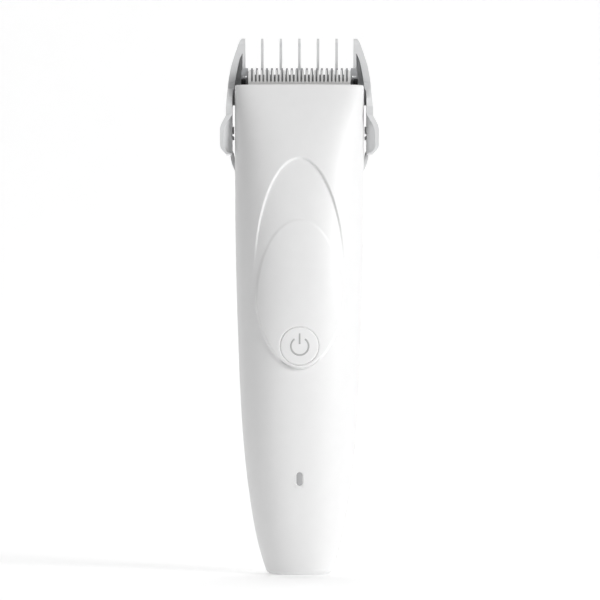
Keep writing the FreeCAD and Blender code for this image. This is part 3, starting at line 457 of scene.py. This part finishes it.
def material(name, colour, rough, metal=0.0, coat=0.0, grain=900.0, bump=0.02, mottle=0.015,
             transmission=0.0, stretch=None, specular=0.5):
    """A Principled finish with fine procedural variation in colour, roughness and surface."""
    rough_span = 0.06
    mat = bpy.data.materials.new(name)
    mat.use_nodes = True
    tree = mat.node_tree
    shader = tree.nodes["Principled BSDF"]
    coords = tree.nodes.new("ShaderNodeTexCoord")
    place = tree.nodes.new("ShaderNodeMapping")
    tree.links.new(coords.outputs["Object"], place.inputs["Vector"])
    if stretch:
        place.inputs["Scale"].default_value = stretch
    noise = add_noise(tree, place.outputs["Vector"], grain, DETAIL_FINE)
    broad = add_noise(tree, place.outputs["Vector"], grain / BROAD_SHARE, DETAIL_BROAD)
    ramp = tree.nodes.new("ShaderNodeMapRange")
    ramp.inputs["To Min"].default_value = rough - rough_span
    ramp.inputs["To Max"].default_value = rough + rough_span
    tree.links.new(noise.outputs["Fac"], ramp.inputs["Value"])
    tree.links.new(ramp.outputs["Result"], shader.inputs["Roughness"])
    mix = tree.nodes.new("ShaderNodeMix")
    mix.data_type = "RGBA"
    mix.inputs["A"].default_value = (*[max(0, c - mottle) for c in colour], 1)
    mix.inputs["B"].default_value = (*[min(1, c + mottle) for c in colour], 1)
    tree.links.new(broad.outputs["Fac"], mix.inputs["Factor"])
    tree.links.new(mix.outputs["Result"], shader.inputs["Base Color"])
    shader.inputs["Metallic"].default_value = metal
    shader.inputs["Coat Weight"].default_value = coat
    shader.inputs["Coat Roughness"].default_value = COAT_ROUGH
    shader.inputs["Transmission Weight"].default_value = transmission
    shader.inputs["Specular IOR Level"].default_value = specular
    if bump:
        rise = tree.nodes.new("ShaderNodeBump")
        rise.inputs["Strength"].default_value = bump
        rise.inputs["Distance"].default_value = BUMP_METRES
        tree.links.new(noise.outputs["Fac"], rise.inputs["Height"])
        tree.links.new(rise.outputs["Normal"], shader.inputs["Normal"])
    return mat


LOOKS = {
    "white_shell": material("white_shell", (0.86, 0.86, 0.86), 0.44, coat=0.08, grain=2600, bump=0.03),
    "button_plastic": material("button_plastic", (0.87, 0.87, 0.87), 0.4, grain=2600, bump=0.04),
    "icon_ink": material("icon_ink", (0.48, 0.48, 0.48), 0.45, grain=3000),
    "window_plastic": material("window_plastic", (0.5, 0.5, 0.51), 0.2, coat=0.4, grain=1500,
                               transmission=0.15),
    "screw_steel": material("screw_steel", (0.46, 0.46, 0.48), 0.32, metal=1.0, grain=1800),
    "frame_plastic": material("frame_plastic", (0.05, 0.05, 0.055), 0.55, grain=1500, mottle=0.01),
    "circuit_board": material("circuit_board", (0.02, 0.16, 0.06), 0.35, coat=0.4, grain=900),
    "switch_plastic": material("switch_plastic", (0.03, 0.03, 0.03), 0.5, grain=1500, mottle=0.005),
    "led_resin": material("led_resin", (0.8, 0.8, 0.68), 0.15, grain=900),
    "chip_resin": material("chip_resin", (0.025, 0.025, 0.028), 0.6, grain=2500, mottle=0.005),
    "socket_steel": material("socket_steel", (0.55, 0.55, 0.57), 0.28, metal=1.0, grain=1500),
    "battery_sleeve": material("battery_sleeve", (0.04, 0.18, 0.42), 0.4, coat=0.3, grain=500),
    "nickel_strip": material("nickel_strip", (0.6, 0.58, 0.54), 0.3, metal=1.0, grain=1500),
    "motor_steel": material("motor_steel", (0.5, 0.5, 0.5), 0.35, metal=1.0, grain=1200),
    "terminal_brass": material("terminal_brass", (0.7, 0.48, 0.2), 0.3, metal=1.0, grain=1200),
    "magnet_ferrite": material("magnet_ferrite", (0.05, 0.05, 0.055), 0.7, grain=2500, mottle=0.01),
    "shaft_steel": material("shaft_steel", (0.6, 0.6, 0.62), 0.2, metal=1.0, grain=1500),
    "armature_steel": material("armature_steel", (0.25, 0.25, 0.27), 0.45, metal=1.0, grain=1500),
    "cam_plastic": material("cam_plastic", (0.8, 0.8, 0.76), 0.45, grain=1500),
    "blade_steel": material("blade_steel", (0.42, 0.425, 0.435), 0.34, metal=0.7, grain=900,
                            stretch=(1, 14, 14), bump=0.05),
    "blade_ceramic": material("blade_ceramic", (0.94, 0.94, 0.93), 0.22, coat=0.3, grain=2500),
    "black_plastic": material("black_plastic", (0.012, 0.012, 0.013), 0.5, grain=2200, mottle=0.003,
                              specular=0.25),
    "spring_steel": material("spring_steel", (0.5, 0.51, 0.52), 0.28, metal=1.0, grain=1500),
    "comb_plastic": material("comb_plastic", (0.74, 0.745, 0.75), 0.32, coat=0.15, grain=1600),
    "lead_sleeve": material("lead_sleeve", (0.42, 0.03, 0.03), 0.5, grain=1500),
}


def paint(obj, look):
    """Give a piece one finish."""
    obj.data.materials.clear()
    obj.data.materials.append(LOOKS[look])


for entry in frame["record"]["subparts"]:
    node = frame["nodes"][entry["node"]]
    paint(node, entry["material_slot"])


# ---- covers ----------------------------------------------------------------------------


def skin_heights(top):
    """Heights of the rows of points, closer together where the form is finer."""
    z = np.concatenate([FOOT_HEIGHTS] + [np.arange(*stretch) for stretch in ROW_STRETCHES])
    below_lip = z[z < top - SEAM_START]
    return np.concatenate([below_lip, [top - drop for drop in LIP_DROPS]])


def lip_in(rows):
    """Turn the top lip over with a small radius."""
    for back, inward in LIP_TURN:
        row = rows[back]
        row[:, 0] *= 1 - inward / HEAD_HALF
        row[:, 1] *= 1 - inward / np.maximum(np.abs(row[:, 1]).max(), 1)
    return rows


def make_front():
    """The front cover with its panel, button hole and window slot."""
    rows = push_relief(lip_in(half_rows(True, skin_heights(BODY_TOP), FRONT_COLUMNS)))
    rows = np.concatenate([foot_rows(rows[0]), rows])
    obj = link("front_shell", grid_mesh("front_shell", rows))
    paint(obj, "white_shell")
    button_hole = disc(BUTTON, BUTTON_HOLE)
    window_hole = slot_shape(WINDOW, WINDOW_HALF + WINDOW_GAP, WINDOW_REACH)
    cut_holes(obj, [button_hole, window_hole], front_at, -1, FRONT_WALL)
    finish_skin(obj)
    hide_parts("front_cover")
    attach(obj, "housing")


def make_rear():
    """The rear cover with its two screw holes."""
    rows = lip_in(half_rows(False, skin_heights(REAR_TOP), REAR_COLUMNS))
    rows = np.concatenate([foot_rows(rows[0]), rows])
    obj = link("rear_shell", grid_mesh("rear_shell", rows))
    paint(obj, "white_shell")
    across, height = REAR_SCREWS
    screw_holes = [disc((side * across, height), REAR_SCREW_R) for side in (-1, 1)]
    cut_holes(obj, screw_holes, rear_at, 1, REAR_WALL)
    finish_skin(obj)
    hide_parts("rear_cover")
    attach(obj, "housing")


make_front()
make_rear()


# ---- power button, its symbol and the indicator window ---------------------------------

BUTTON_RINGS = 16
BUTTON_SPOKES = 128
BUTTON_LIP = 0.16
# A narrow step round the button, just under its lip, that nearly fills the gap in the cover.
SKIRT = 0.21
SKIRT_DEEP = 0.17
SKIRT_FALL = 0.04

# The power symbol: the ring and half its opening in degrees, then the bar's across, low end
# and length.
SYMBOL_CENTRE = (0.15, 75.9)
SYMBOL_R = 2.9
SYMBOL_OPEN = 36
SYMBOL_BAR = (0.1, 76.6, 3.5)
ARC_STEPS = 60
BAR_STEPS = 8
LINE_HALF = 0.3
LINE_RISE = 0.035
LINE_SUNK = 0.02
LINE_FLAT = 0.92


def button_surface(x, z):
    """The button follows the plateau, with a barely sunk middle."""
    spread = math.hypot(x - BUTTON[0], z - BUTTON[1]) / BUTTON_R
    return front_at(x, z) + BUTTON_DISH * max(0.0, 1 - spread ** 2)


def make_button():
    """A round cap with a rounded rim, a narrow step below it, a side wall and a flat back."""
    face = BUTTON_R - BUTTON_LIP
    ring = BUTTON_R / BUTTON_RINGS
    profile = [(ring * (i + 1), 0.0) for i in range(BUTTON_RINGS - 1)] + [(face, 0.0)]
    for angle in (30, 60, 90):
        turn = math.radians(angle)
        profile.append((face + BUTTON_LIP * math.sin(turn), BUTTON_LIP * (1 - math.cos(turn))))
    profile.append((BUTTON_R, SKIRT_DEEP))
    profile.append((BUTTON_R + SKIRT, SKIRT_DEEP + SKIRT_FALL))
    middle = button_surface(*BUTTON)
    verts = [(BUTTON[0], middle, BUTTON[1])]
    for r, down in profile + [(BUTTON_R + SKIRT, None)]:
        for k in range(BUTTON_SPOKES):
            turn = 2 * math.pi * k / BUTTON_SPOKES
            x = BUTTON[0] + r * math.cos(turn)
            z = BUTTON[1] + r * math.sin(turn)
            y = middle + BUTTON_DEEP if down is None else button_surface(x, z) + down
            verts.append((x, y, z))
    return closed_mesh("power_button_cap", verts, rings_of_faces(len(profile) + 1, BUTTON_SPOKES))


button = make_button()
paint(button, "button_plastic")
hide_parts("power_button")
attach(button, "button")


def ribbon(name, path):
    """A thin printed line of even width that lies on the button's surface."""
    count = len(path)
    section = ((-1, -LINE_SUNK), (-LINE_FLAT, LINE_RISE), (0, LINE_RISE * 1.1), (LINE_FLAT, LINE_RISE),
               (1, -LINE_SUNK))
    verts, faces = [], []
    for i, (x, z) in enumerate(path):
        before = path[max(i - 1, 0)]
        after = path[min(i + 1, count - 1)]
        dx, dz = after[0] - before[0], after[1] - before[1]
        size = math.hypot(dx, dz)
        for side, lift in section:
            px = x - dz / size * LINE_HALF * side
            pz = z + dx / size * LINE_HALF * side
            verts.append((px, button_surface(px, pz) - lift, pz))
    for i in range(count - 1):
        for j in range(4):
            a = i * 5 + j
            faces.append((a, a + 1, a + 6, a + 5))
        faces.append((i * 5 + 4, i * 5, i * 5 + 5, i * 5 + 9))
    faces.append((0, 1, 2, 3, 4))
    faces.append(tuple((count - 1) * 5 + k for k in (4, 3, 2, 1, 0)))
    return closed_mesh(name, verts, faces)


def symbol_arc():
    """The open ring of the power symbol, with its gap at the top."""
    sweep = 360 - 2 * SYMBOL_OPEN
    turns = [math.radians(90 + SYMBOL_OPEN + sweep * k / ARC_STEPS) for k in range(ARC_STEPS + 1)]
    x, z = SYMBOL_CENTRE
    return [(x + SYMBOL_R * math.cos(turn), z + SYMBOL_R * math.sin(turn)) for turn in turns]


def symbol_bar():
    """The upright bar of the power symbol."""
    x, low, long = SYMBOL_BAR
    return [(x, low + long * k / BAR_STEPS) for k in range(BAR_STEPS + 1)]


for name, path in (("power_symbol_arc", symbol_arc()), ("power_symbol_bar", symbol_bar())):
    line = ribbon(name, path)
    paint(line, "icon_ink")
    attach(line, "button")


LENS_STEPS = 24
# Share of the way out from the middle, and how far the lens has rounded off there.
LENS_LAYERS = ((0.2, 0.0), (0.4, 0.0), (0.6, 0.0), (0.8, 0.0), (0.93, 0.03), (1.0, 0.12))


def make_lens():
    """The slot-shaped indicator window with a low dome."""
    outline = []
    for start, end_z in ((0, WINDOW_REACH), (math.pi, -WINDOW_REACH)):
        for k in range(LENS_STEPS + 1):
            turn = start + math.pi * k / LENS_STEPS
            outline.append((WINDOW_HALF * math.cos(turn), end_z + WINDOW_HALF * math.sin(turn)))
    layers = LENS_LAYERS + ((1.0, WINDOW_DEEP),)
    verts = [(WINDOW[0], front_at(*WINDOW) + WINDOW_SUNK - WINDOW_DOME, WINDOW[1])]
    for share, down in layers:
        for x, z in outline:
            px, pz = WINDOW[0] + x * share, WINDOW[1] + z * share
            y = front_at(px, pz) + WINDOW_SUNK - WINDOW_DOME * (1 - share ** 2) + down
            verts.append((px, y, pz))
    return closed_mesh("indicator_lens", verts, rings_of_faces(len(layers), len(outline)))


lens = make_lens()
paint(lens, "window_plastic")
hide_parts("led_window")
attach(lens, "housing")


# ---- CAD pieces that show: soften their edges ------------------------------------------

SOFT_EDGES = {
    "guide_comb": 0.25,
    "blade_base": 0.15,
    "fixed_blade": 0.05,
    "moving_blade": 0.08,
    "blade_driver": 0.2,
    "usb_socket": 0.05,
}
EDGE_ANGLE = 40
for label, width in SOFT_EDGES.items():
    bevel = frame["nodes"][label].modifiers.new("soft_edges", "BEVEL")
    bevel.width = width * MM
    bevel.segments = 2
    bevel.limit_method = "ANGLE"
    bevel.angle_limit = math.radians(EDGE_ANGLE)


# ---- floor, light and camera, in metres ------------------------------------------------

FLOOR_FRONT = -2.6
FLOOR_HALF = 3.0
FLOOR_DROP = 0.00002
WALL_Y = 1.55
WALL_BEND = 0.35
BEND_STEPS = 16
WALL_TOP = 2.6
PAPER_GLOW = 0.25

# Name, place, target, side of the square lamp, watts.
LAMPS = (
    ("key", (0.84, -0.62, 0.44), (0, 0, 0.17), 0.5, 7.2),
    ("fill", (-0.22, -0.42, 0.72), (0, 0, 0.18), 0.35, 0.7),
    ("top", (0.0, 0.8, 1.7), (0, 1.0, 0), 1.6, 15.5),
)
WORLD_LIGHT = 0.14

CAMERA_AWAY = 1.35
CAMERA_PLACE = (0.0002, -CAMERA_AWAY, 0.0911)
SEEN_WIDTH = 0.2
SENSOR = 36


def make_sweep():
    """A seamless pale floor that curves up into the backdrop."""
    flat_end = WALL_Y - WALL_BEND
    profile = [(FLOOR_FRONT, 0.0), (0.0, 0.0), (flat_end, 0.0)]
    for k in range(1, BEND_STEPS + 1):
        turn = math.pi / 2 * k / BEND_STEPS
        profile.append((flat_end + WALL_BEND * math.sin(turn), WALL_BEND * (1 - math.cos(turn))))
    profile.append((WALL_Y, WALL_TOP))
    verts = [(x / MM, y / MM, (z - FLOOR_DROP) / MM) for y, z in profile for x in (-FLOOR_HALF, FLOOR_HALF)]
    faces = [(2 * i, 2 * i + 1, 2 * i + 3, 2 * i + 2) for i in range(len(profile) - 1)]
    obj = closed_mesh("sweep", verts, faces)
    mat = material("studio_paper", (0.93, 0.93, 0.93), 0.9, grain=300, bump=0.0, mottle=0.004, specular=0.1)
    shader = mat.node_tree.nodes["Principled BSDF"]
    shader.inputs["Emission Color"].default_value = (1, 1, 1, 1)
    shader.inputs["Emission Strength"].default_value = PAPER_GLOW
    obj.data.materials.append(mat)


def area_light(name, place, target, size, power):
    """A soft square lamp that faces its target."""
    lamp = bpy.data.lights.new(name, "AREA")
    lamp.shape = "SQUARE"
    lamp.size = size
    lamp.energy = power
    obj = link(name, lamp)
    obj.location = place
    obj.rotation_euler = (Vector(target) - Vector(place)).to_track_quat("-Z", "Y").to_euler()


make_sweep()
for lamp_row in LAMPS:
    area_light(*lamp_row)

scene = bpy.context.scene
scene.view_settings.view_transform = "Standard"
scene.view_settings.look = "None"

scene.world = bpy.data.worlds.new("studio")
scene.world.use_nodes = True
background = scene.world.node_tree.nodes["Background"]
background.inputs["Color"].default_value = (1, 1, 1, 1)
background.inputs["Strength"].default_value = WORLD_LIGHT

lens_camera = bpy.data.cameras.new("camera")
lens_camera.sensor_width = SENSOR
lens_camera.lens = SENSOR * CAMERA_AWAY / SEEN_WIDTH
lens_camera.clip_end = 20
camera = link("camera", lens_camera)
camera.location = CAMERA_PLACE
camera.rotation_euler = (math.pi / 2, 0, 0)
scene.camera = camera
